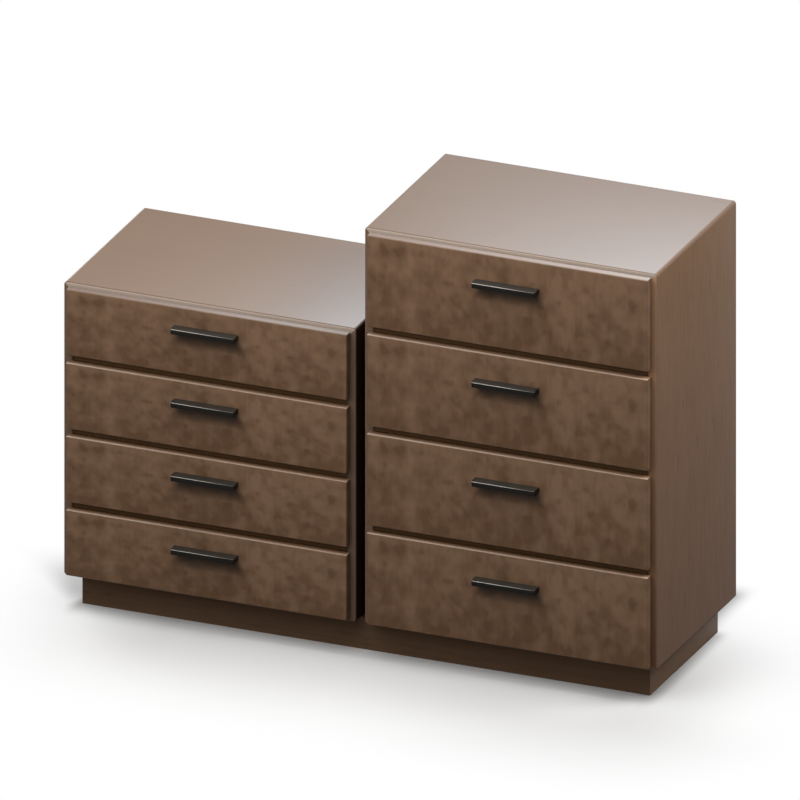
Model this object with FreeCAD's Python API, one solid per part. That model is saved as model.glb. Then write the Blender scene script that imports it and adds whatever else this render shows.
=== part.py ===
import FreeCAD, Part
import os

from FreeCAD import Vector

# Dresser: a low and a tall cabinet of four drawers each, side by side on one plinth.
# The drawer fronts face -Y, the low cabinet stands at -X, and the floor is z = 0.
# The origin is under the middle of the whole, with the pulls counted in the depth.
# All sizes are in millimetres.

# Cabinets
cabinet_width = 634.0
cabinet_depth = 410.0
cabinet_gap = 18.0
board = 19.0
long_edge_radius = 7.0
front_edge_radius = 3.5
back_thickness = 6.0
back_rebate = 9.0
back_recess = 2.0
back_play = 0.5
rail_depth = 60.0
rail_setback = 3.0

# Drawer fronts
drawers_per_cabinet = 4
low_front_height = 142.0
tall_front_height = 198.0
front_slot = 17.5
end_reveal = 8.5
side_reveal = 13.0
front_thickness = 18.0
front_radius = 2.0
bumper_gap = 1.5

# Drawer boxes
box_rear_space = 33.5
box_board = 12.0
box_below_front_top = 22.0
box_above_front_bottom = 20.0
tail_spacing = 32.0
pin_width = 6.0
tail_flare = 2.0
bottom_thickness = 6.0
bottom_rise = 10.0
groove_depth = 6.0
bottom_play = 0.5

# Telescopic slides, each of three nested steel members
slide_space = 13.0
slide_length = 350.0
slide_height = 45.0
slide_setback = 3.0
slide_rise = 42.0
slide_metal = 1.2
slide_bend = 1.0
slide_play = 0.3
cabinet_member_depth = 10.5
cabinet_member_lip = 4.0
middle_member_lip = 5.0

# Pulls: a cast ledge with a finger recess under it, closed at both ends
pull_length = 138.0
pull_projection = 24.0
pull_height = 11.5
pull_plate = 3.0
pull_lip = 3.5
pull_end = 10.0
pull_radius = 1.5
low_pull_drop = 38.0
tall_pull_drop = 55.5

# Plinth
plinth_height = 69.0
plinth_inset_side = 28.0
plinth_inset_front = 30.0
plinth_inset_back = 28.0
block_size = 40.0
block_height = 50.0

# Places worked out from the sizes above
total_width = 2 * cabinet_width + cabinet_gap
front_proud = front_thickness + bumper_gap
total_depth = cabinet_depth + front_proud + pull_projection
cabinet_front = -total_depth / 2 + pull_projection + front_proud
cabinet_back = cabinet_front + cabinet_depth
front_face = cabinet_front - front_proud
front_rear = cabinet_front - bumper_gap
back_rear = cabinet_back - back_recess
box_rear = back_rear - back_thickness - box_rear_space
opening_width = cabinet_width - 2 * board
box_width = opening_width - 2 * slide_space


def block(x0, x1, y0, y1, z0, z1):
    """A rectangular solid between two opposite corners."""
    return Part.makeBox(x1 - x0, y1 - y0, z1 - z0, Vector(x0, y0, z0))


def prism(points, travel):
    """A solid made by moving a closed outline of points along a vector."""
    wire = Part.makePolygon(points + points[:1])
    return Part.Face(wire).extrude(travel)


def mirrored(shape, x):
    """The mirror image of a shape on the other side of the plane at x."""
    return shape.mirror(Vector(x, 0, 0), Vector(1, 0, 0))


def save(node, shapes):
    """Writes one node, a single solid or a group of separate solids."""
    solids = [solid for shape in shapes for solid in shape.Solids]
    whole = solids[0] if len(solids) == 1 else Part.makeCompound(solids)
    whole.exportStep("parts/" + node + ".step")


def cabinet_height(front_height):
    fronts = drawers_per_cabinet * front_height
    slots = (drawers_per_cabinet - 1) * front_slot
    return fronts + slots + 2 * end_reveal


def front_top(front_height, number):
    """Height of the top edge of a drawer front; drawer 1 is the top one."""
    cabinet_top = plinth_height + cabinet_height(front_height)
    return cabinet_top - end_reveal - (number - 1) * (front_height + front_slot)


# Carcass boards


def carcass_ring(x0, front_height):
    """The four boards in one piece, with rounded outer edges and the rebate for the back."""
    x1 = x0 + cabinet_width
    z0 = plinth_height
    z1 = z0 + cabinet_height(front_height)
    ring = block(x0, x1, cabinet_front, cabinet_back, z0, z1)
    along = [e for e in ring.Edges if abs(e.tangentAt(e.FirstParameter).y) > 0.9]
    ring = ring.makeFillet(long_edge_radius, along)
    rim = [e for e in ring.Edges if abs(e.BoundBox.YMax - cabinet_front) < 0.01]
    ring = ring.makeFillet(front_edge_radius, rim)
    ring = ring.cut(block(x0 + board, x1 - board, cabinet_front, cabinet_back,
                          z0 + board, z1 - board))
    inset = board - back_rebate
    rebate = block(x0 + inset, x1 - inset, back_rear - back_thickness, cabinet_back,
                   z0 + inset, z1 - inset)
    return ring.cut(rebate)


def carcass_boards(x0, front_height):
    """Left side, right side, top and bottom, parted by mitres through the corners."""
    ring = carcass_ring(x0, front_height)
    x1 = x0 + cabinet_width
    z0 = plinth_height
    z1 = z0 + cabinet_height(front_height)
    outer = {"bl": (x0, z0), "br": (x1, z0), "tr": (x1, z1), "tl": (x0, z1)}
    inner = {"bl": (x0 + board, z0 + board), "br": (x1 - board, z0 + board),
             "tr": (x1 - board, z1 - board), "tl": (x0 + board, z1 - board)}

    def between(first, second):
        corners = [outer[first], outer[second], inner[second], inner[first]]
        outline = [Vector(x, cabinet_front, z) for x, z in corners]
        return ring.common(prism(outline, Vector(0, cabinet_depth, 0)))

    return {"left_side": between("bl", "tl"), "right_side": between("tr", "br"),
            "top": between("tl", "tr"), "bottom": between("br", "bl")}


def back_panel(x0, front_height):
    inset = board - back_rebate + back_play
    z0 = plinth_height
    z1 = z0 + cabinet_height(front_height)
    return block(x0 + inset, x0 + cabinet_width - inset,
                 back_rear - back_thickness, back_rear, z0 + inset, z1 - inset)


def front_rails(x0, front_height):
    """Rails behind the slots that part the drawer fronts."""
    rails = []
    for number in range(1, drawers_per_cabinet):
        slot_middle = front_top(front_height, number) - front_height - front_slot / 2
        front = cabinet_front + rail_setback
        rails.append(block(x0 + board, x0 + cabinet_width - board, front, front + rail_depth,
                           slot_middle - board / 2, slot_middle + board / 2))
    return rails


# Telescopic slides. Each section is a list of (distance from the cabinet side, height)
# points, with its height counted from the slide's centre line. The outside of each bend
# in the steel is one small facet.


def mirrored_section(upper):
    """Closes a section whose lower half mirrors its upper half."""
    return upper + [(u, -z) for u, z in reversed(upper)]


def cabinet_member_section():
    top = slide_height / 2
    mouth = top - cabinet_member_lip
    depth = cabinet_member_depth
    return mirrored_section([
        (0, top - slide_bend), (slide_bend, top), (depth - slide_bend, top),
        (depth, top - slide_bend), (depth, mouth), (depth - slide_metal, mouth),
        (depth - slide_metal, top - slide_metal), (slide_metal, top - slide_metal)])


def middle_member_section():
    web = slide_metal + slide_play
    depth = cabinet_member_depth - slide_metal - slide_play
    top = slide_height / 2 - slide_metal - slide_play
    mouth = top - middle_member_lip
    return mirrored_section([
        (web, top - slide_bend), (web + slide_bend, top), (depth - slide_bend, top),
        (depth, top - slide_bend), (depth, mouth), (depth - slide_metal, mouth),
        (depth - slide_metal, top - slide_metal), (web + slide_metal, top - slide_metal)])


def drawer_member_section():
    """A hat: its crown lies on the drawer side and its brims run inside the middle member."""
    brim_back = 2 * (slide_metal + slide_play)
    brim_top = slide_height / 2 - brim_back
    leg = slide_height / 2 - slide_metal - 2 * slide_play - middle_member_lip
    return mirrored_section([
        (brim_back, brim_top), (brim_back + slide_metal, brim_top),
        (brim_back + slide_metal, leg), (slide_space - slide_bend, leg),
        (slide_space, leg - slide_bend)]) + inside_of_hat(brim_back, leg)


def inside_of_hat(brim_back, leg):
    inside = leg - slide_metal
    crown = slide_space - slide_metal
    return [(brim_back, -inside), (crown, -inside), (crown, inside), (brim_back, inside)]


def slide_pair(section, x0, centre_height):
    """One member at the left side of a cabinet and its mirror image at the right side."""
    wall = x0 + board
    front = cabinet_front + slide_setback
    outline = [Vector(wall + u, front, centre_height + z) for u, z in section]
    left = prism(outline, Vector(0, slide_length, 0))
    return [left, mirrored(left, x0 + cabinet_width / 2)]


def slide_centre(front_height, number):
    box_bottom = front_top(front_height, number) - front_height + box_above_front_bottom
    return box_bottom + slide_rise


# Drawers, each made in place for its cabinet and number


def edges_at(shape, y):
    """Edges that lie in the plane at y."""
    return [e for e in shape.Edges if abs(e.BoundBox.YMin - y) + abs(e.BoundBox.YMax - y) < 0.01]


def drawer_front(x0, front_height, top):
    slab = block(x0 + side_reveal, x0 + cabinet_width - side_reveal, front_face, front_rear,
                 top - front_height, top)
    return slab.makeFillet(front_radius, edges_at(slab, front_face))


def tails(x0, x1, open_end, root, z0, z1):
    """Dovetail tails of a side board, from their root to the board's open end."""
    count = max(2, round((z1 - z0) / tail_spacing))
    pitch = (z1 - z0) / count
    made = []
    for index in range(count):
        low = z0 + index * pitch + pin_width / 2
        high = z0 + (index + 1) * pitch - pin_width / 2
        outline = [Vector(x0, open_end, low), Vector(x0, open_end, high),
                   Vector(x0, root, high - tail_flare), Vector(x0, root, low + tail_flare)]
        made.append(prism(outline, Vector(x1 - x0, 0, 0)))
    return made


def box_boards(x0, front_height, top):
    """Two sides, inner front and back, dovetailed, with a bottom held in grooves."""
    left = x0 + (cabinet_width - box_width) / 2
    right = left + box_width
    z0 = top - front_height + box_above_front_bottom
    z1 = top - box_below_front_top
    ends = {"front": (front_rear, front_rear + box_board),
            "back": (box_rear, box_rear - box_board)}
    sides = {"left": (left, left + box_board), "right": (right - box_board, right)}
    boards = {
        "left": block(*sides["left"], front_rear, box_rear, z0, z1),
        "right": block(*sides["right"], front_rear, box_rear, z0, z1),
        "front": block(left, right, *sorted(ends["front"]), z0, z1),
        "back": block(left, right, *sorted(ends["back"]), z0, z1),
    }
    for end, (open_end, root) in ends.items():
        for side, (xa, xb) in sides.items():
            corner = block(xa, xb, min(open_end, root), max(open_end, root), z0, z1)
            made = tails(xa, xb, open_end, root, z0, z1)
            boards[side] = boards[side].cut(corner.cut(made))
            boards[end] = boards[end].cut(made)
    shelf = z0 + bottom_rise
    inside = (left + box_board, right - box_board,
              front_rear + box_board, box_rear - box_board)
    reach = groove_depth
    groove = block(inside[0] - reach, inside[1] + reach, inside[2] - reach, inside[3] + reach,
                   shelf, shelf + bottom_thickness)
    reach = groove_depth - bottom_play
    bottom = block(inside[0] - reach, inside[1] + reach, inside[2] - reach, inside[3] + reach,
                   shelf, shelf + bottom_thickness)
    return [boards[name].cut(groove) for name in ("left", "right", "front", "back")] + [bottom]


def pull(x0, high):
    """A ledge with rounded front edges, hollowed from below between its solid ends."""
    left = x0 + (cabinet_width - pull_length) / 2
    right = left + pull_length
    low = high - pull_height
    tip = front_face - pull_projection
    body = block(left, right, tip, front_face, low, high)
    body = body.makeFillet(pull_radius, edges_at(body, tip))
    recess = block(left + pull_end, right - pull_end, tip + pull_lip, front_face,
                   low, high - pull_plate)
    return body.cut(recess)


# Plinth


def plinth_boards():
    """Front, back and two end boards, mitred at the corners."""
    x1 = total_width / 2 - plinth_inset_side
    y0 = cabinet_front + plinth_inset_front
    y1 = cabinet_back - plinth_inset_back
    outer = [(-x1, y0), (x1, y0), (x1, y1), (-x1, y1)]
    inner = [(-x1 + board, y0 + board), (x1 - board, y0 + board),
             (x1 - board, y1 - board), (-x1 + board, y1 - board)]
    made = []
    for first in range(4):
        second = (first + 1) % 4
        corners = [outer[first], outer[second], inner[second], inner[first]]
        outline = [Vector(x, y, 0) for x, y in corners]
        made.append(prism(outline, Vector(0, 0, plinth_height)))
    front, right_end, back, left_end = made
    return front, back, [left_end, right_end]


def plinth_inside():
    """Clear space inside the plinth boards: x0, x1, y0, y1."""
    x1 = total_width / 2 - plinth_inset_side - board
    return (-x1, x1, cabinet_front + plinth_inset_front + board,
            cabinet_back - plinth_inset_back - board)


def cross_rails():
    """One cross rail under the middle of each cabinet and one under the gap between them."""
    _, _, y0, y1 = plinth_inside()
    offset = (cabinet_width + cabinet_gap) / 2
    return [block(x - board / 2, x + board / 2, y0, y1, 0, plinth_height)
            for x in (-offset, 0, offset)]


def corner_blocks():
    """Three-cornered blocks under the cabinets that brace the plinth's corners."""
    x0, x1, y0, y1 = plinth_inside()
    made = []
    for y, back in ((y0, 1), (y1, -1)):
        for x, across in ((x0, 1), (-board / 2, -1), (board / 2, 1), (x1, -1)):
            corner = Vector(x, y, plinth_height - block_height)
            outline = [corner, corner + Vector(across * block_size, 0, 0),
                       corner + Vector(0, back * block_size, 0)]
            made.append(prism(outline, Vector(0, 0, block_height)))
    return made


# The whole dresser


def save_cabinet(name, x0, front_height, pull_drop):
    for board_name, solid in carcass_boards(x0, front_height).items():
        save(name + "_" + board_name, [solid])
    save(name + "_back", [back_panel(x0, front_height)])
    save(name + "_rails", front_rails(x0, front_height))
    fixed = []
    for number in range(1, drawers_per_cabinet + 1):
        fixed += slide_pair(cabinet_member_section(), x0, slide_centre(front_height, number))
    save(name + "_cabinet_members", fixed)
    save_drawers(name, x0, front_height, pull_drop)


def save_drawers(name, x0, front_height, pull_drop):
    for number in range(1, drawers_per_cabinet + 1):
        drawer = name + "_drawer_" + str(number)
        top = front_top(front_height, number)
        centre = slide_centre(front_height, number)
        save(drawer + "_front", [drawer_front(x0, front_height, top)])
        save(drawer + "_box", box_boards(x0, front_height, top))
        save(drawer + "_pull", [pull(x0, top - pull_drop)])
        save(drawer + "_middle_members", slide_pair(middle_member_section(), x0, centre))
        save(drawer + "_drawer_members", slide_pair(drawer_member_section(), x0, centre))


def save_plinth():
    front, back, ends = plinth_boards()
    save("plinth_front", [front])
    save("plinth_back", [back])
    save("plinth_ends", ends)
    save("plinth_cross_rails", cross_rails())
    save("plinth_corner_blocks", corner_blocks())


os.makedirs("parts", exist_ok=True)
save_plinth()
save_cabinet("low", -total_width / 2, low_front_height, low_pull_drop)
save_cabinet("tall", total_width / 2 - cabinet_width, tall_front_height, tall_pull_drop)
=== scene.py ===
"""Finishes, fittings and studio for a dresser of two cabinets on one plinth. Lengths are in metres."""

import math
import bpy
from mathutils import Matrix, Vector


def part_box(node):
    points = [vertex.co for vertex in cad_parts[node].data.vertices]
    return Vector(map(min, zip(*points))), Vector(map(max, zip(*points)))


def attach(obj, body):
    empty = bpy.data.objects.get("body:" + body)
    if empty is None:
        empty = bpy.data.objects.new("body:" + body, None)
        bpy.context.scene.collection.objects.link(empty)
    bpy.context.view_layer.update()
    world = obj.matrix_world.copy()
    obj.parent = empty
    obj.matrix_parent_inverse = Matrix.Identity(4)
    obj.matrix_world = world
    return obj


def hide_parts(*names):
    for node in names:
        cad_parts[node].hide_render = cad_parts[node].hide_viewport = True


bl_info = {
    "name": "Dresser finishes and fittings",
    "version": (1, 0, 0),
    "blender": (4, 5, 0),
    "location": "3D View > Sidebar > Dresser",
    "description": "Wood finishes, pulls, fittings and a plain studio for a two-cabinet dresser",
    "category": "Object",
}

import bmesh
import bpy
from bpy.props import FloatProperty, FloatVectorProperty, IntProperty, PointerProperty
from mathutils import Matrix, Vector

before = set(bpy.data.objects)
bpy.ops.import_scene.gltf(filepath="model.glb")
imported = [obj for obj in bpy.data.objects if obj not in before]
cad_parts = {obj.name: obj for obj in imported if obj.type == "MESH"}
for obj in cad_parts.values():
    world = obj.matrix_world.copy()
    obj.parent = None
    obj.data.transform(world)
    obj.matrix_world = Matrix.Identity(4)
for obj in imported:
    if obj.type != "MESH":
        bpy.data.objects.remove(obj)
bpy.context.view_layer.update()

cabinets = ("low", "tall")
drawers = [cabinet + "_drawer_" + str(number) for cabinet in cabinets for number in (1, 2, 3, 4)]
millimetre = 0.001
# Points nearer to each other than this are in one place.
touching = 1e-6
# A direction follows an axis from the first of these on, and crosses it up to the second.
aligned, crossing = 0.9, 0.1
# Edges that turn by less than this are shaded smooth.
smooth_below = math.radians(35)
# How far apart the seeds of the two cabinets' grain are.
seed_step = 3.7
lacquer_roughness = 0.32
x_axis, y_axis, z_axis = range(3)


def shade(red, green, blue):
    """A colour given as the 0 to 255 numbers of a paint chip, in the linear values that shaders use."""
    parts = []
    for value in (red, green, blue):
        share = value / 255
        parts.append(share / 12.92 if share <= 0.04045 else ((share + 0.055) / 1.055) ** 2.4)
    return tuple(parts)


def middle_of(node):
    low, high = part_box(node)
    return (low + high) / 2


def cabinet_of(drawer):
    return drawer.split("_")[0]


# Settings


def tint(name, description, default):
    return FloatVectorProperty(name=name, description=description, default=default,
                               subtype="COLOR", size=3, min=0, max=1)


def length(name, description, default):
    return FloatProperty(name=name, description=description, default=default, min=0,
                         subtype="DISTANCE", unit="LENGTH")


def power(name, description, default):
    return FloatProperty(name=name, description=description, default=default, min=0,
                         subtype="POWER", unit="POWER")


class DresserFinishSettings(bpy.types.PropertyGroup):
    front_veneer: tint("Front veneer", "Mean colour of the drawer fronts", (0.1495, 0.0842, 0.0487))
    side_veneer: tint("Side veneer", "Mean colour of the sides", (0.1545, 0.0945, 0.0592))
    # Painted shade: a greyer, bluer tone on the sides' upward rounding and towards their foot.
    side_haze: tint("Side haze", "Greyer tone towards the foot of the sides", (0.045, 0.06, 0.13))
    rail_stain: tint("Rail stain", "Mean colour of the rails in the slots", (0.093, 0.051, 0.023))
    # Painted shade: on the face that the gap hides, the ends of the fronts, the rounded front edges of the
    # tops and the top fronts' arrises.
    gap_stain: tint("Gap stain", "Stain of the side that the gap hides", (0.035, 0.021, 0.014))
    low_top_veneer: tint("Low top veneer", "Mean colour of the low top", (0.130, 0.078, 0.047))
    tall_top_veneer: tint("Tall top veneer", "Mean colour of the tall top", (0.114, 0.072, 0.044))
    # Painted light on the front-facing strip of the tops.
    lipping: tint("Lipping", "Thin strips along the front edges of the tops", (0.37, 0.30, 0.245))
    # Painted light on the front edges of the sides and on the tops towards their front right.
    rubbed_edge: tint("Rubbed edge", "Edges where the stain has worn thin", (0.262, 0.212, 0.172))
    # Painted shadow under the pulls.
    pull_shade: tint("Pull shade", "Finish that fingers have darkened", (0.014, 0.009, 0.006))
    # Painted light on the upward ledges of the fronts; on the top fronts it grows lighter towards the right.
    top_ledge: tint("Top ledge", "Upper edges of the top fronts", (0.165, 0.124, 0.104))
    worn_ledge: tint("Worn ledge", "Upper edges of the top fronts, at their right", (0.270, 0.235, 0.215))
    warm_ledge: tint("Warm ledge", "Upper edges of the other fronts", (0.245, 0.135, 0.074))
    # Painted highlight on the upper arrises of the fronts below the top ones.
    worn_arris: tint("Worn arris", "Upper arrises of the fronts, worn pale", (0.47, 0.38, 0.31))
    # Painted light on the tall right side's front edge, lighter towards its top.
    edge_dark: tint("Edge dark", "Right side's front edge at its foot", (0.16, 0.085, 0.048))
    edge_light: tint("Edge light", "Right side's front edge at its top", (0.42, 0.25, 0.145))
    plinth_veneer: tint("Plinth veneer", "Mean colour of the plinth", (0.121, 0.071, 0.042))
    birch_dark: tint("Birch dark", "Darkest grain of the drawer boxes", shade(176, 142, 100))
    birch_light: tint("Birch light", "Lightest grain of the drawer boxes", shade(222, 196, 156))
    softwood_dark: tint("Softwood dark", "Darkest grain of the corner blocks", shade(170, 128, 80))
    softwood_light: tint("Softwood light", "Lightest grain of the corner blocks", shade(222, 186, 134))
    zinc: tint("Zinc", "Plated steel of the slides and screws", (0.60, 0.61, 0.63))
    black: tint("Black", "Paint of the pulls", (0.011, 0.009, 0.007))
    # Painted highlight on the pulls' upper front edges and a faint painted sheen on their tops.
    polished_black: tint("Polished black", "Edges of the pulls that hands have polished",
                         (0.304, 0.290, 0.261))
    figure_size: length("Figure size", "Width of a cloud in the front figure", 0.045)
    figure_height: length("Figure height", "Height that the front figure is drawn for", 0.17)
    streak_width: length("Streak width", "Width of a streak of grain", 0.006)
    pore_width: length("Pore width", "Width of a pore", 0.0022)


class DresserFittingSettings(bpy.types.PropertyGroup):
    box_board: length("Box board", "Thickness of a drawer box board", 0.012)
    pull_plate: length("Pull plate", "Thickness of a pull's top plate", 0.003)
    pull_lip: length("Pull lip", "Thickness of a pull's front lip", 0.0035)
    pull_end: length("Pull end", "Length of a pull's solid end", 0.010)
    pull_arris: length("Pull arris", "Radius of a pull's front edges", 0.0015)
    pull_corner: length("Pull corner", "Radius of a pull's front corners, seen from above", 0.004)
    screw_spacing: length("Screw spacing", "Distance between the two screws of a pull", 0.128)
    screw_head: length("Screw head", "Diameter of a pull screw's head", 0.008)
    screw_crown: length("Screw crown", "Height of a pull screw's head", 0.0026)
    back_screw_head: length("Back screw head", "Diameter of a back panel screw's head", 0.007)
    back_screw_gap: length("Back screw gap", "Greatest distance between back panel screws", 0.19)
    bumper: length("Bumper", "Diameter of a soft bumper behind a front", 0.0056)


class DresserStageSettings(bpy.types.PropertyGroup):
    azimuth: FloatProperty(name="Azimuth", description="Turn of the camera from the front to the right",
                           default=math.radians(22.64), subtype="ANGLE", unit="ROTATION")
    elevation: FloatProperty(name="Elevation", description="Height of the camera over the horizon",
                             default=math.radians(22.96), subtype="ANGLE", unit="ROTATION")
    picture_width: length("Picture width", "Width of the square picture at the object", 1.6)
    picture_pixels: IntProperty(name="Picture pixels", description="Pixels along a side of the picture",
                                default=800, subtype="PIXEL")
    corner_column: FloatProperty(name="Corner column", default=63.74, subtype="PIXEL",
                                 description="Picture column of the low cabinet's front left edge")
    corner_row: FloatProperty(name="Corner row", default=606.51, subtype="PIXEL",
                              description="Picture row of that edge carried down to the floor")
    camera_distance: length("Camera distance", "From the object to the camera", 6.0)
    room_light: FloatProperty(name="Room light", description="Strength of the light from all round",
                              default=0.27, min=0)
    key_power: power("Key power", "Lamp at the upper left front", 40)
    overhead_power: power("Overhead power", "Lamp above the front", 52)
    top_power: power("Top power", "Lamp above the tops", 14)
    side_power: power("Side power", "Lamp above the right side", 80)
    back_power: power("Back power", "Lamp at the left back", 40)
    gloss_power: power("Gloss power", "Lamp behind, which the tops mirror", 6.6)
    gloss_colour: tint("Gloss colour", "Tint of the lamp that the tops mirror", (0.60, 0.80, 1.0))


# Shader maths


def arithmetic(operation, reflected=False):
    """A method that adds a Math node, for one of Python's operators."""
    def method(self, other):
        return self.nodes.maths(operation, *((other, self) if reflected else (self, other)))
    return method


class Channel:
    """A socket whose arithmetic adds Math nodes, so that patterns read as plain expressions."""

    def __init__(self, nodes, socket):
        self.nodes = nodes
        self.socket = socket

    __add__ = arithmetic("ADD")
    __radd__ = arithmetic("ADD", reflected=True)
    __sub__ = arithmetic("SUBTRACT")
    __rsub__ = arithmetic("SUBTRACT", reflected=True)
    __mul__ = arithmetic("MULTIPLY")
    __rmul__ = arithmetic("MULTIPLY", reflected=True)
    __truediv__ = arithmetic("DIVIDE")
    __lt__ = arithmetic("LESS_THAN")
    __gt__ = arithmetic("GREATER_THAN")
    most = arithmetic("MAXIMUM")

    def __abs__(self):
        return self.nodes.maths("ABSOLUTE", self)

    def fraction(self):
        return self.nodes.maths("FRACT", self)

    def cubed(self):
        return self * self * self

    def swing(self, strength):
        """Noise of 0 to 1 as a swing about 0."""
        return (self - 0.5) * strength

    def between(self, start, end):
        """0 at start and 1 at end, in a straight line."""
        return (self - start) / (end - start)

    def step(self, start, end):
        """0 below start, 1 above end, and a smooth rise between them."""
        made = self.nodes.node("ShaderNodeMapRange", {"interpolation_type": "SMOOTHSTEP"},
                               {"Value": self, "From Min": start, "From Max": end})
        return Channel(self.nodes, made.outputs["Result"])


class Nodes:
    """Adds nodes to a tree from their type, their settings and the values or links of their sockets."""

    def __init__(self, tree):
        self.tree = tree

    def node(self, kind, options, sockets):
        made = self.tree.nodes.new(kind)
        for name, value in options.items():
            setattr(made, name, value)
        for name, value in sockets.items():
            self.feed(made.inputs[name], value)
        return made

    def feed(self, socket, value):
        if isinstance(value, Channel):
            self.tree.links.new(value.socket, socket)
        elif isinstance(value, bpy.types.NodeSocket):
            self.tree.links.new(value, socket)
        elif isinstance(value, (int, float)):
            socket.default_value = value
        else:
            numbers = tuple(value)
            socket.default_value = numbers + (1,) if len(socket.default_value) > len(numbers) else numbers

    def maths(self, operation, *values):
        made = self.node("ShaderNodeMath", {"operation": operation}, dict(enumerate(values)))
        return Channel(self, made.outputs["Value"])

    def mix(self, factor, first, second, kind="RGBA"):
        """A colour between two colours, or where the kind is VECTOR a vector between two vectors."""
        first_input, output = {"RGBA": (6, 2), "VECTOR": (4, 1)}[kind]
        made = self.node("ShaderNodeMix", {"data_type": kind},
                         {0: factor, first_input: first, first_input + 1: second})
        return made.outputs[output]

    def mix_surfaces(self, factor, first, second):
        """A surface between two surfaces."""
        return self.node("ShaderNodeMixShader", {}, {0: factor, 1: first, 2: second}).outputs["Shader"]

    def matt(self, colour):
        """A dull surface of one colour."""
        return self.node("ShaderNodeBsdfDiffuse", {}, {"Color": colour}).outputs["BSDF"]

    def vector(self, x, y, z):
        return self.node("ShaderNodeCombineXYZ", {}, {"X": x, "Y": y, "Z": z}).outputs["Vector"]

    def distance(self, x, y):
        """How far a place is from where both of its numbers are 0."""
        return self.maths("SQRT", x * x + y * y)

    def axes(self, kind):
        """The x, y and z of one kind of texture coordinate."""
        where = self.node("ShaderNodeTexCoord", {}, {}).outputs[kind]
        parts = self.node("ShaderNodeSeparateXYZ", {}, {"Vector": where}).outputs
        return [Channel(self, parts[axis]) for axis in ("X", "Y", "Z")]

    def place(self):
        """The three object coordinates, in metres."""
        return self.axes("Object")

    def facing(self, signed=False):
        """How far a face points along each axis, from 0 to 1, or from -1 to 1 where the way counts."""
        channels = self.axes("Normal")
        return channels if signed else [abs(channel) for channel in channels]

    def noise(self, vector, detail=1, roughness=0.5, distortion=0.0):
        """Soft noise whose features are about one unit of the vector wide."""
        made = self.node("ShaderNodeTexNoise", {}, {
            "Vector": vector, "Scale": 1.0, "Detail": detail, "Roughness": roughness,
            "Distortion": distortion})
        return Channel(self, made.outputs[0])

    def grain_vector(self, point, along, width, stretch, seed=0.0):
        """Coordinates for grain: one unit is width across it, and stretch times that along it."""
        parts = [part / (width * stretch if axis == along else width) for axis, part in enumerate(point)]
        return self.vector(parts[0] + seed, parts[1], parts[2])

    def grain(self, point, along, width, stretch, seed=0.0, **noise):
        """Noise that is drawn out along the grain."""
        return self.noise(self.grain_vector(point, along, width, stretch, seed), **noise)

    def outside_view(self):
        """1 for rays that show the room to the camera, straight or by reflection, and 0 for its light."""
        rays = self.node("ShaderNodeLightPath", {}, {}).outputs
        camera, glossy, through = [
            Channel(self, rays["Is " + kind + " Ray"]) for kind in ("Camera", "Glossy", "Transmission")]
        return camera.most(glossy).most(through)


class Finish(Nodes):
    """A material with one Principled shader. Its constants are set on the shader's own sockets."""

    def __init__(self, name, gloss=0.5, coat_roughness=0.03, metallic=0.0):
        self.material = bpy.data.materials.new(name)
        self.material.use_nodes = True
        super().__init__(self.material.node_tree)
        self.shader = self.tree.nodes["Principled BSDF"]
        self.set("Specular IOR Level", gloss)
        self.set("Coat Roughness", coat_roughness)
        self.set("Metallic", metallic)

    def set(self, socket, value):
        self.feed(self.shader.inputs[socket], value)

    def colour(self):
        """The colour that the finish has so far."""
        return self.shader.inputs["Base Color"].links[0].from_socket

    def relief(self, height, depth):
        """Bump from a height of 0 to 1 and the depth that it stands for."""
        made = self.node("ShaderNodeBump", {}, {"Strength": 1.0, "Distance": depth, "Height": height})
        self.set("Normal", made.outputs["Normal"])


# Finishes


def settings():
    return bpy.context.scene.dresser_finishes


def scaled(colour, factor):
    """A colour made darker or lighter."""
    return [factor * value for value in colour]


def tones(colour, contrast, redness=0.08):
    """A dark and a light tone of a wood whose mean is its colour. Dark tones are a little redder."""
    dark = [value * (1 - contrast * (1 + redness * n)) for n, value in enumerate(colour)]
    light = [2 * value - other for value, other in zip(colour, dark)]
    return dark, light


def streaks_and_pores(finish, point, along, seed):
    """The fine grain that straight-grained veneers share."""
    look = settings()
    streaks = finish.grain(point, along, look.streak_width, stretch=22, seed=seed, detail=3, roughness=0.55,
                           distortion=0.2)
    pores = finish.grain(point, along, look.pore_width, stretch=26, seed=seed).step(0.62, 0.74)
    return streaks, pores


def veneer(node, along, colour, seed, gloss=0.04):
    """Straight-grained veneer with soft streaks, short dark dashes and pores, under a thin matt lacquer."""
    look = settings()
    low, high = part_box(node)
    finish = Finish("veneer_" + node, gloss, lacquer_roughness)
    point = finish.place()
    clouds = finish.grain(point, along, width=0.05, stretch=3, seed=seed, detail=2)
    streaks, pores = streaks_and_pores(finish, point, along, seed)
    dashes = finish.grain(point, along, look.streak_width * 1.2, stretch=9, seed=seed + 5).step(0.64, 0.76)
    tone = 0.5 + clouds.swing(0.4) + streaks.swing(0.8)
    dark, light = tones(colour, 0.2)
    wood = finish.mix(tone, dark, light)
    finish.set("Base Color", finish.mix(dashes * 0.38 + pores * 0.2, wood, scaled(dark, 0.55)))
    finish.set("Roughness", 0.46 + streaks.swing(0.16) + pores * 0.12)
    # Lacquer takes the light on what faces up, and towards the back.
    upward = finish.facing()[z_axis].step(0.25, 0.85)
    towards_back = point[y_axis].between(low.y, high.y)
    finish.set("Coat Weight", (upward * 0.8).most(towards_back.cubed() * 0.2))
    finish.relief(streaks * 0.5 - pores * 0.5, 0.05 * millimetre)
    return finish


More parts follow.
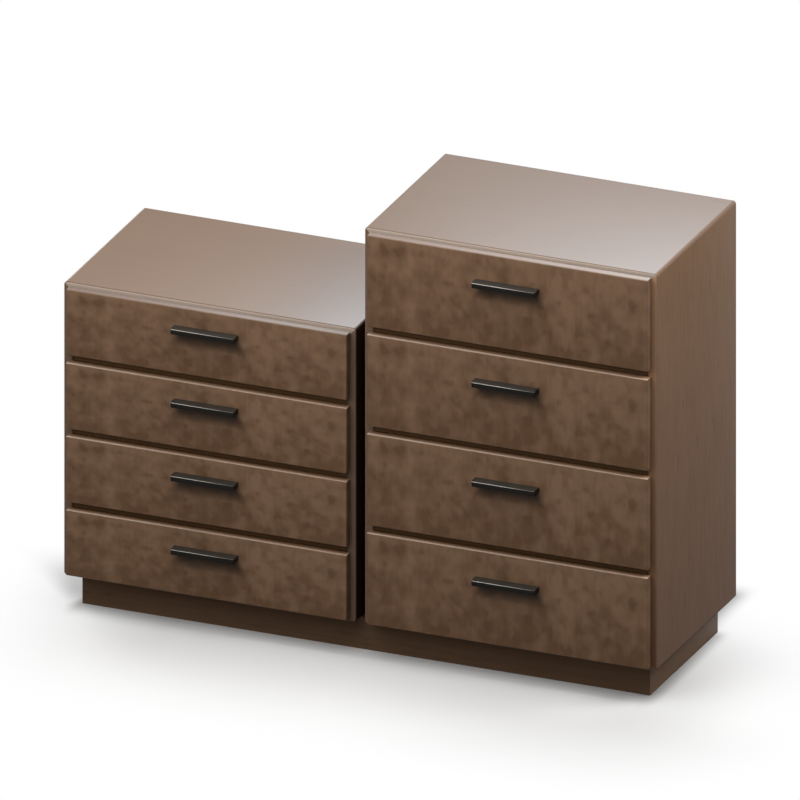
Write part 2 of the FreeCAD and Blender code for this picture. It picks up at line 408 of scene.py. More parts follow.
def rail_veneer(node, seed):
    """Stained veneer of the rails, with painted light that makes them paler low down in the slots."""
    look = settings()
    finish = veneer(node, x_axis, look.rail_stain, seed)
    low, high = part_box(node)
    rail_count, rail_height = 3, 0.019
    # Raises every height, so that rounding takes no rail's lower face for the top of the space below.
    margin = 0.0001
    pitch = (high.z - low.z - rail_height) / (rail_count - 1)
    height = ((finish.place()[z_axis] - low.z + margin) / pitch).fraction() * pitch
    # Painted light: paler low down in each slot.
    painted_light = (1 - height.step(0.003, 0.01)) * 0.6
    finish.set("Base Color", finish.mix(painted_light, finish.colour(), scaled(look.rail_stain, 2)))
    return finish


def side_veneer(node, seed):
    """Upright veneer. Its front edge has painted light, and the face in the gap has painted shade."""
    look = settings()
    finish = veneer(node, z_axis, look.side_veneer, seed, gloss=0.0)
    low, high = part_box(node)
    edge_depth, gap_depth = 0.01, 0.005
    x, y, z = finish.place()
    facing_x, facing_y, facing_z = finish.facing()
    up, towards_back = z.between(low.z, high.z), y.between(low.y, high.y)
    finish.set("Coat Weight", towards_back.cubed() * (0.1 + up * 0.11))
    # Painted shade: a greyer, bluer tone on the upward rounding and towards the foot.
    rounding = facing_z.step(0.05, 0.5) * 0.14
    colour = finish.mix(rounding.most((1 - up) * 0.1), finish.colour(), look.side_haze)
    front_edge = facing_y.step(0.72, 0.98) * (y < low.y + edge_depth)
    # Painted light on the front edge: strong on the tall right side and lighter towards its top, faint
    # elsewhere.
    if node == "tall_right_side":
        colour = finish.mix(front_edge * 0.9, colour, finish.mix(up, look.edge_dark, look.edge_light))
    else:
        colour = finish.mix(front_edge * 0.1, colour, look.rubbed_edge)
    # Painted shade on the face in the gap between the cabinets.
    if node == "low_right_side":
        in_gap = facing_x.step(0.3, 0.8) * (x > high.x - gap_depth)
        colour = finish.mix(in_gap, colour, look.gap_stain)
    finish.set("Base Color", colour)
    return finish


def top_veneer(node, colour, seed):
    """Top veneer along the cabinet, lighter by painted sheen and glossier towards its front right corner."""
    look = settings()
    low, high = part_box(node)
    finish = Finish("top_veneer_" + node, gloss=0.2, coat_roughness=lacquer_roughness)
    edge_depth = 0.01
    point = finish.place()
    x, y = point[:2]
    streaks, pores = streaks_and_pores(finish, point, x_axis, seed)
    clouds = finish.grain(point, x_axis, width=0.06, stretch=3, seed=seed, detail=2)
    tone = 0.5 + clouds.swing(0.3) + streaks.swing(0.4)
    dark, light = tones(colour, 0.12)
    wood = finish.mix(tone, dark, light)
    across, forward = x.between(low.x, high.x), y.between(high.y, low.y)
    # Painted sheen: lighter towards the front right corner, where the lacquer is also glossier.
    painted_light = across * (0.3 + 0.7 * forward)
    if node == "low_top":
        painted_light = painted_light * (0.5 + across)
    wood = finish.mix(painted_light * 0.12, wood, look.rubbed_edge)
    wood = finish.mix(pores * 0.1, wood, scaled(dark, 0.6))
    facing_y, facing_z = finish.facing()[1:]
    at_front = y < low.y + edge_depth
    # Painted shade on the rounding of the front edge.
    wood = finish.mix(facing_y.step(0.08, 0.35) * at_front * 0.35, wood, look.gap_stain)
    # Painted light on the front-facing strip.
    lipping = facing_y.step(0.6, 0.98) * at_front * (1 - across * 0.1)
    finish.set("Base Color", finish.mix(lipping, wood, look.lipping))
    finish.set("Coat Weight", painted_light * facing_z.step(0.9, 1))
    finish.set("Roughness", 0.38 + streaks.swing(0.1) + pores * 0.08)
    finish.relief(streaks * 0.5 - pores * 0.5, 0.02 * millimetre)
    return finish


def under_pull(node, x, z):
    """1 just below a front's pull, where a shadow is painted, fading to 0 further down."""
    low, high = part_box(node.replace("_front", "_pull"))
    fade_start, fade_end = 0.007, 0.035
    behind_pull, to_right, inset, spread = 0.004, 0.004, 0.005, 0.5
    below = low.z - z
    reach = (high.x - low.x) / 2 - inset + below * spread
    beside = abs(x - (low.x + high.x) / 2 - to_right) - reach
    fading = (fade_end - below) / (fade_end - fade_start)
    return (below > -behind_pull) * fading * (1 - beside.step(-0.012, 0.006))


def front_veneer(node, is_top, seed):
    """Clouded figure, drawn to fit the front's height, over fine upright streaks, with painted light and
    shade on the upper edges, painted shade on the ends and a painted shadow under the pull.
    """
    look = settings()
    low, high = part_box(node)
    is_low = node.startswith("low")
    finish = Finish("front_veneer_" + node, gloss=0.12, coat_roughness=lacquer_roughness)
    x, y, z = finish.place()
    across, depth, up = x.between(low.x, high.x), y - low.y, z.between(low.z, high.z)
    point = [x - low.x, depth, up * look.figure_height]
    size = look.figure_size

    def figure(width, stretch, shift=0, **noise):
        return finish.grain(point, z_axis, width, stretch, seed + shift, **noise)

    clouds = figure(size * 1.5, stretch=1)
    blotches = figure(size * 0.62, stretch=1.15, shift=3, roughness=0.45)
    spots = figure(size * 0.62, stretch=1, shift=5).step(0.53, 0.72)
    streaks = figure(look.streak_width, stretch=8, shift=7, detail=3)
    pores = figure(look.pore_width, stretch=14).step(0.64, 0.76)
    warmth = figure(size * 0.5, stretch=1.3, shift=11).step(0.4, 0.6)
    tone = 0.54 + clouds.swing(1.2) + blotches.swing(1.7) + streaks.swing(0.4) - spots * 0.42
    towards_right = 0.2 if is_low else 0.32
    tone = tone + up.swing(0.66) + (across - 0.4) * up * towards_right
    dark, light = tones(look.front_veneer, 0.3, redness=0.2)
    wood = finish.mix(tone, dark, light)
    olive = [value * part for value, part in zip(look.front_veneer, (0.9, 1.0, 0.9))]
    wood = finish.mix(warmth * 0.2, wood, olive)
    wood = finish.mix(pores * 0.12, wood, scaled(dark, 0.55))
    facing_x, _, facing_z = finish.facing()
    # Painted shade on the ends of the front.
    wood = finish.mix(facing_x.step(0.02, 0.35) * 0.32, wood, look.gap_stain)
    if is_top:
        # Painted light on the upward ledge, growing lighter towards the right.
        ledge = facing_z.step(0.5, 0.95)
        worn = across * across * 1.6 if is_low else across * 0.9 + 0.1
        ledge_tone = finish.mix(worn, look.top_ledge, look.worn_ledge)
        wood = finish.mix(ledge * (0.5 + depth.step(-0.002, 0.009) * 0.5), wood, ledge_tone)
        # Painted shade on the arris.
        arris = facing_z.step(0.2, 0.6) * (1 - depth.step(0.001, 0.0045))
        wood = finish.mix(arris * 0.42, wood, look.gap_stain)
        coat = ledge * 0.1
    else:
        # Painted light on the upward ledge and a painted highlight on its arris.
        ledge = facing_z.step(0.6, 0.98)
        arris = ledge * (1 - depth.step(0.003, 0.009))
        wood = finish.mix(ledge, wood, look.warm_ledge)
        wood = finish.mix(arris * (0.9 - across * 0.36), wood, look.worn_arris)
        coat = arris * (1 - across * 0.5)
    face_depth = 0.003
    # Painted shadow under the pull.
    wood = finish.mix(under_pull(node, x, z) * (depth < face_depth), wood, look.pull_shade)
    finish.set("Base Color", wood)
    finish.set("Roughness", 0.46 + clouds.swing(0.15) + pores * 0.1)
    finish.set("Coat Weight", coat)
    finish.relief(streaks * 0.5 - pores * 0.5, 0.05 * millimetre)
    return finish


def box_wood(node, tails_per_corner):
    """Pale birch whose grain turns with each board, down to the tails and pins of the corners."""
    look = settings()
    board = bpy.context.scene.dresser_fittings.box_board
    pin_width, tail_flare = 0.006, 0.002
    panel_bottom, panel_top = 0.0099, 0.016
    grain_width, grain_stretch = 0.005, 18
    low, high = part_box(node)
    centre = middle_of(node)
    finish = Finish("box_wood_" + node, gloss=0.4, coat_roughness=0.3)
    point = finish.place()
    x, y, z = point
    across = abs(x - centre.x)
    inward = (high.y - low.y) / 2 - abs(y - centre.y)
    in_side = across > (high.x - low.x) / 2 - board
    pitch = (high.z - low.z) / tails_per_corner
    from_tail = abs(((z - low.z) / pitch).fraction() - 0.5) * pitch
    in_tail = from_tail < (pitch - pin_width) / 2 - inward * (tail_flare / board)
    along_y = in_side * (1 - (inward < board) * (1 - in_tail))
    in_panel = (z < low.z + panel_top) * (z > low.z + panel_bottom) * (1 - in_side) * (inward > board)
    for_x = finish.grain_vector(point, x_axis, grain_width, grain_stretch)
    for_y = finish.grain_vector(point, y_axis, grain_width, grain_stretch, seed=9)
    for_ends = finish.mix(along_y, for_x, for_y, "VECTOR")
    streaks = finish.noise(for_ends, detail=3, roughness=0.6, distortion=0.3)
    clouds = finish.grain(point, x_axis, width=0.05, stretch=2, detail=2)
    tone = 0.55 + streaks.swing(1.1) + clouds.swing(0.5) + in_panel * 0.12
    birch = finish.mix(tone, look.birch_dark, look.birch_light)
    facing_x, facing_y, _ = finish.facing()
    end_grain = along_y * (facing_y > aligned) + (1 - along_y) * (facing_x > aligned)
    birch = finish.mix(end_grain * (1 - in_panel) * 0.35, birch, shade(150, 112, 72))
    finish.set("Base Color", birch)
    finish.set("Roughness", 0.46 + streaks.swing(0.2))
    finish.relief(streaks, 0.05 * millimetre)
    return finish


def softwood():
    """Coarse softwood of the corner blocks, with wide rings."""
    look = settings()
    finish = Finish("block_wood", gloss=0.3)
    point = finish.place()
    streaks = finish.grain(point, z_axis, width=0.006, stretch=14, detail=3, roughness=0.6, distortion=0.4)
    rings = finish.grain(point, z_axis, width=0.012, stretch=10, seed=4).step(0.35, 0.65)
    wood = finish.mix(rings * 0.5 + streaks * 0.5, look.softwood_dark, look.softwood_light)
    finish.set("Base Color", wood)
    finish.set("Roughness", 0.6 + streaks.swing(0.2))
    finish.relief(streaks, 0.15 * millimetre)
    return finish


def back_board():
    """Thin fibreboard faced with dark paper."""
    finish = Finish("back_board", gloss=0.25)
    point = finish.place()
    fibres = finish.grain(point, z_axis, width=0.002, stretch=3, detail=3, roughness=0.6)
    clouds = finish.grain(point, z_axis, width=0.12, stretch=1.5, detail=2)
    tone = fibres * 0.5 + clouds * 0.5
    finish.set("Base Color", finish.mix(tone, shade(72, 54, 41), shade(104, 81, 63)))
    finish.set("Roughness", 0.62 + fibres.swing(0.2))
    finish.relief(fibres, 0.1 * millimetre)
    return finish


def rolled_steel():
    """Zinc-plated steel with fine rolling lines along the slides and a clouded sheen."""
    look = settings()
    finish = Finish("steel", metallic=1.0)
    point = finish.place()
    rolling = finish.grain(point, y_axis, width=0.0008, stretch=120, detail=2)
    clouds = finish.grain(point, y_axis, width=0.02, stretch=2, detail=3, roughness=0.6)
    finish.set("Base Color", finish.mix(clouds, scaled(look.zinc, 0.82), look.zinc))
    finish.set("Roughness", 0.28 + rolling.swing(0.2) + clouds.swing(0.15))
    finish.relief(rolling, 0.01 * millimetre)
    return finish


def black_paint(cabinet):
    """Sprayed black coating with faint pebbling, with a painted highlight along its upper edge that fades
    from the left, and a faint painted sheen on its top.
    """
    look = settings()
    low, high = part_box(cabinet + "_drawer_1_pull")
    finish = Finish("black_metal_" + cabinet, gloss=0.06, coat_roughness=0.2)
    point = finish.place()
    _, facing_y, facing_z = finish.facing()
    rising = finish.facing(signed=True)[z_axis]
    along = point[x_axis].between(low.x, high.x)
    # Painted highlight along the upper front edge, fading towards the right.
    edge = facing_y.step(0.2, 0.6) * rising.step(0.2, 0.6) * (1.15 - along.step(0.35, 1) * 0.95)
    # Faint painted sheen on the top face.
    upper = facing_z.step(0.8, 0.98) * 0.05
    pebbles = finish.grain(point, x_axis, width=0.0012, stretch=1)
    clouds = finish.grain(point, x_axis, width=0.02, stretch=3, detail=2)
    paint = finish.mix(clouds * 0.4, look.black, scaled(look.black, 1.5))
    finish.set("Base Color", finish.mix((edge * 0.85).most(upper), paint, look.polished_black))
    finish.set("Roughness", 0.3 + clouds.swing(0.12) - edge * 0.05)
    finish.set("Coat Weight", (edge * 0.9).most(rising.step(0.5, 0.95) * 0.4))
    finish.relief(pebbles, 0.02 * millimetre)
    return finish


def soft_plastic():
    """Milky plastic of the bumpers."""
    finish = Finish("bumper_plastic", gloss=0.5)
    haze = finish.grain(finish.place(), x_axis, width=0.002, stretch=1, detail=2)
    finish.set("Base Color", finish.mix(haze, shade(176, 172, 164), shade(206, 203, 196)))
    finish.set("Roughness", 0.35 + haze.swing(0.2))
    return finish


# Pieces


def dress(node, finish):
    """Gives a node of the construction its finish."""
    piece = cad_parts[node]
    piece.data.materials.clear()
    piece.data.materials.append(finish.material)


def clear_selection():
    if bpy.context.mode != "OBJECT":
        bpy.ops.object.mode_set(mode="OBJECT")
    bpy.ops.object.select_all(action="DESELECT")


def edit(kind):
    """Enters edit mode with nothing selected, picking vertices, edges or faces."""
    bpy.ops.object.mode_set(mode="EDIT")
    bpy.ops.mesh.select_mode(type=kind)
    bpy.ops.mesh.select_all(action="DESELECT")


def pick(part, test):
    """Selects the faces or edges of the mesh in edit mode that pass a test on their middle and direction."""
    mesh = bmesh.from_edit_mesh(bpy.context.object.data)
    if part == "faces":
        for face in mesh.faces:
            face.select_set(test(face.calc_center_median(), face.normal))
    else:
        for edge in mesh.edges:
            ends = [corner.co for corner in edge.verts]
            edge.select_set(test((ends[0] + ends[1]) / 2, (ends[1] - ends[0]).normalized()))
    bmesh.update_edit_mesh(bpy.context.object.data)


def leave_edit():
    bpy.ops.object.mode_set(mode="OBJECT")


def applied(piece, kind, values):
    """Adds a modifier with its values and applies it."""
    modifier = piece.modifiers.new(kind.title(), kind)
    for name, value in values.items():
        setattr(modifier, name, value)
    bpy.ops.object.modifier_apply(modifier=modifier.name)


def place_in_mesh(piece):
    bpy.ops.object.transform_apply(location=True, rotation=True, scale=True)
    return piece


def copy_to(piece, name, shift):
    """A copy of a piece with its own mesh, moved within that mesh."""
    made = piece.copy()
    made.data = piece.data.copy()
    made.name = name
    made.data.transform(Matrix.Translation(shift))
    bpy.context.scene.collection.objects.link(made)
    return made


def settle(piece, body, material):
    """Gives a finished piece its material and the body that it moves with."""
    piece.data.materials.clear()
    piece.data.materials.append(material)
    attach(piece, body)


def model_pull(node):
    """A top plate, with the lip and both ends drawn down from it, and rounded front edges."""
    size = bpy.context.scene.dresser_fittings
    eased_width, eased_angle = 0.0004, math.radians(50)
    low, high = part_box(node)
    middle = middle_of(node)
    width = high.x - low.x
    half = width / 2

    def over_recess(at):
        return abs(at.x - middle.x) < 0.4 * width and at.y > low.y + size.pull_lip

    def at_tip(at):
        return at.y < low.y + touching

    def at_corner(at, way):
        return at_tip(at) and abs(way.z) > aligned and abs(at.x - middle.x) > half - touching

    def at_arris(at, way):
        at_front = at.y < low.y + size.pull_corner and (
            at_tip(at) or abs(at.x - middle.x) > half - size.pull_corner)
        at_rim = at.z > high.z - touching or at.z < low.z + touching
        return at_front and at_rim and abs(way.z) < crossing

    clear_selection()
    bpy.ops.mesh.primitive_cube_add(
        size=1, location=(middle.x, middle.y, high.z - size.pull_plate / 2),
        scale=(width, high.y - low.y, size.pull_plate))
    pull = place_in_mesh(bpy.context.object)
    recess = ((low.x + size.pull_end, (1, 0, 0)), (high.x - size.pull_end, (1, 0, 0)),
              (low.y + size.pull_lip, (0, 1, 0)))
    edit("FACE")
    for distance, normal in recess:
        bpy.ops.mesh.select_all(action="SELECT")
        plane = tuple(distance * part for part in normal)
        bpy.ops.mesh.bisect(plane_co=plane, plane_no=normal)
    pick("faces", lambda at, normal: normal.z < -aligned and not over_recess(at))
    drop = high.z - low.z - size.pull_plate
    bpy.ops.mesh.extrude_region_move(TRANSFORM_OT_translate={"value": (0, 0, -drop)})
    bpy.ops.mesh.select_mode(type="EDGE")
    pick("edges", at_corner)
    bpy.ops.mesh.bevel(offset=size.pull_corner, segments=6, affect="EDGES")
    pick("edges", at_arris)
    bpy.ops.mesh.bevel(offset=size.pull_arris, segments=5, affect="EDGES")
    leave_edit()
    applied(pull, "BEVEL", {"width": eased_width, "segments": 2, "limit_method": "ANGLE",
                            "angle_limit": eased_angle})
    bpy.ops.object.shade_smooth_by_angle(angle=smooth_below)
    return pull


def model_screw(diameter, crown):
    """A domed head with a cross recess, standing out backwards."""
    turn = -math.pi / 2
    rounding = crown * 0.7
    recess = (diameter * 0.5, diameter * 0.11, crown)
    clear_selection()
    bpy.ops.mesh.primitive_cylinder_add(vertices=32, radius=diameter / 2, depth=crown,
                                        location=(0, 0, 0), rotation=(turn, 0, 0))
    head = place_in_mesh(bpy.context.object)
    out = Vector((0, -math.sin(turn), math.cos(turn)))
    cap = out * crown / 2
    edit("EDGE")
    pick("edges", lambda at, way: abs((at - cap).dot(out)) < touching)
    bpy.ops.mesh.bevel(offset=rounding, segments=4, affect="EDGES")
    leave_edit()
    for quarter in (0, math.pi / 2):
        clear_selection()
        bpy.ops.mesh.primitive_cube_add(size=1, location=cap, rotation=(turn, quarter, 0), scale=recess)
        cutter = place_in_mesh(bpy.context.object)
        clear_selection()
        head.select_set(True)
        bpy.context.view_layer.objects.active = head
        applied(head, "BOOLEAN", {"operation": "DIFFERENCE", "object": cutter})
        bpy.data.objects.remove(cutter)
    bpy.ops.object.shade_smooth_by_angle(angle=smooth_below)
    return head


def model_bumper(diameter, thickness):
    """A small soft dome that a front closes against."""
    rounding = thickness * 0.6
    clear_selection()
    bpy.ops.mesh.primitive_cylinder_add(vertices=24, radius=diameter / 2, depth=thickness,
                                        location=(0, 0, 0), rotation=(math.pi / 2, 0, 0))
    bumper = place_in_mesh(bpy.context.object)
    edit("EDGE")
    pick("edges", lambda at, way: at.y > thickness / 2 - touching)
    bpy.ops.mesh.bevel(offset=rounding, segments=3, affect="EDGES")
    leave_edit()
    bpy.ops.object.shade_smooth_by_angle(angle=smooth_below)
    return bumper


def add_lamp(name, at, towards, size, power, colour=(1, 1, 1)):
    """A soft square lamp that points at a place."""
    light = bpy.data.lights.new(name, "AREA")
    light.color = colour
    light.size = size
    light.energy = power
    lamp = bpy.data.objects.new(name, light)
    bpy.context.scene.collection.objects.link(lamp)
    lamp.location = at
    lamp.rotation_euler = (Vector(towards) - Vector(at)).to_track_quat("-Z", "Y").to_euler()


# Operators


class DresserOperator:
    bl_options = {"REGISTER", "UNDO"}


class OBJECT_OT_dresser_carcasses(DresserOperator, bpy.types.Operator):
    """Finish the sides, tops, bottoms, rails and backs of both cabinets"""
    bl_idname = "object.dresser_carcasses"
    bl_label = "Cabinets"

    def execute(self, context):
        look = settings()
        for number, cabinet in enumerate(cabinets):
            seed = number * seed_step
            colour = getattr(look, cabinet + "_top_veneer")
            dress(cabinet + "_top", top_veneer(cabinet + "_top", colour, seed))
            for part in ("left_side", "right_side"):
                node = cabinet + "_" + part
                dress(node, side_veneer(node, seed + 2))
            dress(cabinet + "_bottom", veneer(cabinet + "_bottom", x_axis, look.side_veneer, seed))
            dress(cabinet + "_rails", rail_veneer(cabinet + "_rails", seed))
            dress(cabinet + "_back", back_board())
        return {"FINISHED"}


class OBJECT_OT_dresser_plinth(DresserOperator, bpy.types.Operator):
    """Finish the plinth's boards, cross rails and corner blocks"""
    bl_idname = "object.dresser_plinth"
    bl_label = "Plinth"

    def execute(self, context):
        plinth_seed = 8.3
        for node, along in (("plinth_front", x_axis), ("plinth_back", x_axis), ("plinth_ends", y_axis),
                            ("plinth_cross_rails", y_axis)):
            dress(node, veneer(node, along, settings().plinth_veneer, plinth_seed))
        dress("plinth_corner_blocks", softwood())
        return {"FINISHED"}


class OBJECT_OT_dresser_fronts(DresserOperator, bpy.types.Operator):
    """Finish the drawer fronts with figure that fits each front"""
    bl_idname = "object.dresser_fronts"
    bl_label = "Drawer fronts"

    def execute(self, context):
        figure_seed = 2.0
        for drawer in drawers:
            node = drawer + "_front"
            dress(node, front_veneer(node, drawer.endswith("_1"), figure_seed))
        return {"FINISHED"}


class OBJECT_OT_dresser_boxes(DresserOperator, bpy.types.Operator):
    """Finish the dovetailed drawer boxes"""
    bl_idname = "object.dresser_boxes"
    bl_label = "Drawer boxes"

    def execute(self, context):
        tails = {"low": 3, "tall": 5}
        for drawer in drawers:
            dress(drawer + "_box", box_wood(drawer + "_box", tails[cabinet_of(drawer)]))
        return {"FINISHED"}


class OBJECT_OT_dresser_slides(DresserOperator, bpy.types.Operator):
    """Finish the telescopic slides"""
    bl_idname = "object.dresser_slides"
    bl_label = "Slides"

    def execute(self, context):
        steel = rolled_steel()
        for cabinet in cabinets:
            dress(cabinet + "_cabinet_members", steel)
        for drawer in drawers:
            dress(drawer + "_middle_members", steel)
            dress(drawer + "_drawer_members", steel)
        return {"FINISHED"}


class OBJECT_OT_dresser_pulls(DresserOperator, bpy.types.Operator):
    """Model the ledge pulls with rounded edges and a finger recess"""
    bl_idname = "object.dresser_pulls"
    bl_label = "Pulls"

    def execute(self, context):
        paints = {cabinet: black_paint(cabinet) for cabinet in cabinets}
        first = drawers[0] + "_pull"
        pattern = model_pull(first)
        for drawer in drawers:
            node = drawer + "_pull"
            pull = copy_to(pattern, drawer + "_ledge_pull", middle_of(node) - middle_of(first))
            settle(pull, drawer, paints[cabinet_of(drawer)].material)
            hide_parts(node)
        bpy.data.objects.remove(pattern)
        return {"FINISHED"}


class OBJECT_OT_dresser_pull_screws(DresserOperator, bpy.types.Operator):
    """Model the heads of the pull screws inside the drawer boxes"""
    bl_idname = "object.dresser_pull_screws"
    bl_label = "Pull screws"

    def execute(self, context):
        size = context.scene.dresser_fittings
        steel = bpy.data.materials["steel"]
        pattern = model_screw(size.screw_head, size.screw_crown)
        for drawer in drawers:
            pull = middle_of(drawer + "_pull")
            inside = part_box(drawer + "_box")[0].y + size.box_board
            for side, name in ((-1, "_screw_left"), (1, "_screw_right")):
                at = Vector((pull.x + side * size.screw_spacing / 2, inside + size.screw_crown / 2, pull.z))
                screw = copy_to(pattern, drawer + name, at)
                settle(screw, drawer, steel)
        bpy.data.objects.remove(pattern)
        return {"FINISHED"}


class OBJECT_OT_dresser_back_screws(DresserOperator, bpy.types.Operator):
    """Model the screws that hold the back panels in their rebates"""
    bl_idname = "object.dresser_back_screws"
    bl_label = "Back screws"

    def execute(self, context):
        size = context.scene.dresser_fittings
        steel = bpy.data.materials["steel"]
        crown, inset = 0.0012, 0.0055
        pattern = model_screw(size.back_screw_head, crown)
        for cabinet in cabinets:
            low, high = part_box(cabinet + "_back")
            first = Vector((low.x + inset, high.y + crown / 2, low.z + inset))
            span = Vector((high.x - low.x - 2 * inset, 0, high.z - low.z - 2 * inset))
            columns = math.ceil(span.x / size.back_screw_gap)
            rows = math.ceil(span.z / size.back_screw_gap)
            shares = [(column / columns, row) for column in range(columns + 1) for row in (0, 1)]
            shares += [(column, row / rows) for row in range(1, rows) for column in (0, 1)]
            for number, (across, up) in enumerate(shares):
                at = first + Vector((across * span.x, 0, up * span.z))
                screw = copy_to(pattern, cabinet + "_back_screw_" + str(number), at)
                settle(screw, "cabinets", steel)
        bpy.data.objects.remove(pattern)
        return {"FINISHED"}


class OBJECT_OT_dresser_bumpers(DresserOperator, bpy.types.Operator):
    """Model the soft bumpers behind the corners of the fronts"""
    bl_idname = "object.dresser_bumpers"
    bl_label = "Bumpers"

    def execute(self, context):
        size = context.scene.dresser_fittings
        plastic = soft_plastic().material
        from_edge = 0.02
        sides_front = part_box("low_left_side")[0].y
        thickness = sides_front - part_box(drawers[0] + "_front")[1].y
        pattern = model_bumper(size.bumper, thickness)
        for drawer in drawers:
            low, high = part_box(drawer + "_front")
            side_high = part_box(cabinet_of(drawer) + "_left_side")[1]
            inset = side_high.x - low.x - size.bumper / 2
            places = [(x, z) for z in (low.z + from_edge, high.z - from_edge)
                      for x in (low.x + inset, high.x - inset)]
            for corner, (x, z) in enumerate(places):
                at = Vector((x, high.y + thickness / 2, z))
                bumper = copy_to(pattern, drawer + "_bumper_" + str(corner), at)
                settle(bumper, drawer, plastic)
        bpy.data.objects.remove(pattern)
        return {"FINISHED"}


class OBJECT_OT_dresser_stage(DresserOperator, bpy.types.Operator):
    """Set up the floor, the soft lamps, the white room and the camera"""
    bl_idname = "object.dresser_stage"
    bl_label = "Studio"

    def execute(self, context):
        stage = context.scene.dresser_stage
        context.scene.view_settings.view_transform = "Standard"
        self.add_camera(context, stage)
        self.add_floor()
        self.add_room(context, stage)
        add_lamp("key_lamp", at=(-1.3, -2.4, 2.4), towards=(0, 0, 0.45), size=2.0, power=stage.key_power)
        add_lamp("overhead_lamp", at=(0, -1.1, 2.7), towards=(0, -0.6, 0), size=2.2,
                 power=stage.overhead_power)
        add_lamp("top_lamp", at=(0, 0.6, 2.6), towards=(0, 0.3, 0), size=1.8, power=stage.top_power)
        add_lamp("side_lamp", at=(2.2, 0.2, 2.6), towards=(0.4, 0, 0.5), size=1.4, power=stage.side_power)
        add_lamp("back_lamp", at=(-2.6, 1.8, 1.4), towards=(-0.3, 0.1, 0.45), size=1.5,
                 power=stage.back_power)
        add_lamp("gloss_lamp", at=(-0.6, 2.5, 2.1), towards=(0.2, 0, 0.8), size=1.1,
                 power=stage.gloss_power, colour=stage.gloss_colour)
        return {"FINISHED"}

    def add_camera(self, context, stage):
        """An orthographic camera that puts the low cabinet's front left corner at its place."""
        right = Vector((math.cos(stage.azimuth), math.sin(stage.azimuth), 0))
        level = Vector((-math.sin(stage.azimuth), math.cos(stage.azimuth), 0))
        forward = level * math.cos(stage.elevation) - Vector((0, 0, math.sin(stage.elevation)))
        up = right.cross(forward)
        side_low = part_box("low_left_side")[0]
        corner = Vector((side_low.x, side_low.y, 0))
        pixel = stage.picture_width / stage.picture_pixels
        half = stage.picture_pixels / 2
        centre = (corner + right * (half - stage.corner_column) * pixel
                  + up * (stage.corner_row - half) * pixel)
        lens = bpy.data.cameras.new("camera")
        lens.type = "ORTHO"
        lens.ortho_scale = stage.picture_width
        camera = bpy.data.objects.new("camera", lens)
        context.scene.collection.objects.link(camera)
        camera.location = centre - forward * stage.camera_distance
        camera.rotation_euler = forward.to_track_quat("-Z", "Y").to_euler()
        context.scene.camera = camera

    def add_floor(self):
        """A wide floor that shows white to the camera, and pale grey and shaded near the dresser."""
        clear_selection()
        bpy.ops.mesh.primitive_plane_add(size=14, location=(0, 0, 0))
        floor = bpy.context.object
        floor.name = "floor"
        material = bpy.data.materials.new("floor")
        material.use_nodes = True
        nodes = Nodes(material.node_tree)
        nodes.tree.nodes.remove(nodes.tree.nodes["Principled BSDF"])
        x, y, _ = nodes.place()
        # The floor is grey inside a box around the dresser, and turns white outside it.
        middle_x, middle_y, half_width, half_depth = 0.095, -0.17, 0.495, 0.10
        beside = (abs(x - middle_x) - half_width).most(0)
        beyond = (abs(y - middle_y) - half_depth).most(0)
        away = nodes.distance(beside, beyond)
        # Painted shade: the floor is greyer in front of the dresser's right half.
        front_right = x.step(0.0, 0.45) * (0 - y).step(0.15, 0.38)
        shadow = self.floor_shadow(nodes, x, y)
        white = nodes.node("ShaderNodeEmission", {}, {"Color": (1, 1, 1), "Strength": 1.0}).outputs[0]
        pale = nodes.matt((0.605, 0.603, 0.60))
        grey = nodes.matt((0.485, 0.483, 0.48))
        dark = nodes.matt((0.10, 0.098, 0.095))
        bounced = nodes.matt((0.16, 0.158, 0.155))
        lit = nodes.mix_surfaces(shadow, nodes.mix_surfaces(front_right, pale, grey), dark)
        shown = nodes.mix_surfaces(away.step(-0.02, 0.44) * (1 - shadow), lit, white)
        surface = nodes.mix_surfaces(nodes.outside_view(), bounced, shown)
        nodes.feed(nodes.tree.nodes["Material Output"].inputs["Surface"], surface)
        floor.data.materials.append(material)

    def floor_shadow(self, nodes, x, y):
        """Shade on the floor close to the plinth, under the overhang at the left and behind."""
        low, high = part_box("plinth_front")
        outside = (abs(x) - high.x).most(0)
        before = (low.y - y).most(0)
        # Shade where the plinth meets the floor. These are squares of how far it reaches.
        reach_beside, reach_before = 0.0014, 0.006
        away = nodes.maths("SQRT", outside * outside / reach_beside + before * before / reach_before)
        strength = 0.2 + (0 - x).step(0.3, 0.6).most(x.step(0.57, 0.61)) * 0.5
        contact = (1 - away.step(-0.2, 1)) * (1 - y.step(0.17, 0.22)) * strength
        # A faint painted shade before the front right corner.
        corner_x, corner_y = 0.66, -0.19
        corner = (1 - nodes.distance(x - corner_x, y - corner_y).step(0.03, 0.22)) * 0.13
        # The shade that the left side's overhang throws, wider towards its back.
        beside = 1 - (outside / (0.05 + (y - low.y))).step(0.35, 1)
        along = y.step(low.y - 0.03, low.y + 0.07) * (1 - y.step(low.y + 0.1, low.y + 0.26))
        left = beside * along * (x < -high.x) * 0.5
        # The shade on the floor behind the dresser, seen past its right side.
        across = x.step(0.1, 0.5) * (1 - x.step(0.565, 0.625))
        back = across * y.step(0.15, 0.20) * (1 - y.step(0.37, 0.46)) * 0.8
        near = 1 - (1 - contact) * (1 - corner)
        return near.most(left).most(back)

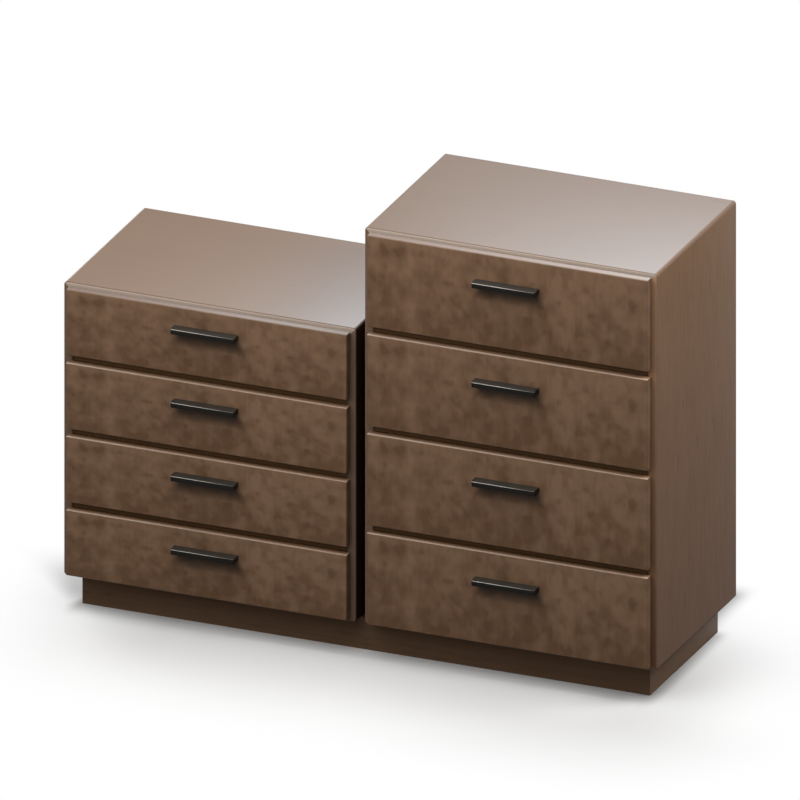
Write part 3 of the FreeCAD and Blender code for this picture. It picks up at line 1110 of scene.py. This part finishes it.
    def add_room(self, context, stage):
        """Even light from all round, from a room that shows white to the camera."""
        world = bpy.data.worlds.new("room")
        context.scene.world = world
        world.use_nodes = True
        nodes = Nodes(world.node_tree)
        light = nodes.tree.nodes["Background"]
        nodes.feed(light.inputs["Color"], (1, 1, 1))
        nodes.feed(light.inputs["Strength"], stage.room_light)
        shown = nodes.node("ShaderNodeBackground", {}, {"Color": (1, 1, 1), "Strength": 1.0})
        surface = nodes.mix_surfaces(nodes.outside_view(), light.outputs[0], shown.outputs[0])
        nodes.feed(nodes.tree.nodes["World Output"].inputs["Surface"], surface)


class VIEW3D_PT_dresser(bpy.types.Panel):
    """Steps that dress the construction, in the order that they run"""
    bl_label = "Dresser"
    bl_idname = "VIEW3D_PT_dresser"
    bl_space_type = "VIEW_3D"
    bl_region_type = "UI"
    bl_category = "Dresser"

    def draw(self, context):
        for step in steps:
            self.layout.operator(step.bl_idname)
        for group in setting_groups:
            values = getattr(context.scene, group)
            box = self.layout.box()
            for name in values.bl_rna.properties.keys():
                if name not in ("rna_type", "name"):
                    box.prop(values, name)


steps = (
    OBJECT_OT_dresser_carcasses,
    OBJECT_OT_dresser_plinth,
    OBJECT_OT_dresser_fronts,
    OBJECT_OT_dresser_boxes,
    OBJECT_OT_dresser_slides,
    OBJECT_OT_dresser_pulls,
    OBJECT_OT_dresser_pull_screws,
    OBJECT_OT_dresser_back_screws,
    OBJECT_OT_dresser_bumpers,
    OBJECT_OT_dresser_stage,
)
setting_groups = {
    "dresser_finishes": DresserFinishSettings,
    "dresser_fittings": DresserFittingSettings,
    "dresser_stage": DresserStageSettings,
}


def register():
    for name, group in setting_groups.items():
        bpy.utils.register_class(group)
        setattr(bpy.types.Scene, name, PointerProperty(type=group))
    for step in steps:
        bpy.utils.register_class(step)
    bpy.utils.register_class(VIEW3D_PT_dresser)


def unregister():
    bpy.utils.unregister_class(VIEW3D_PT_dresser)
    for step in reversed(steps):
        bpy.utils.unregister_class(step)
    for name, group in setting_groups.items():
        delattr(bpy.types.Scene, name)
        bpy.utils.unregister_class(group)


def main():
    register()
    for step in steps:
        group, name = step.bl_idname.split(".")
        getattr(getattr(bpy.ops, group), name)()


if __name__ == "__main__":
    main()
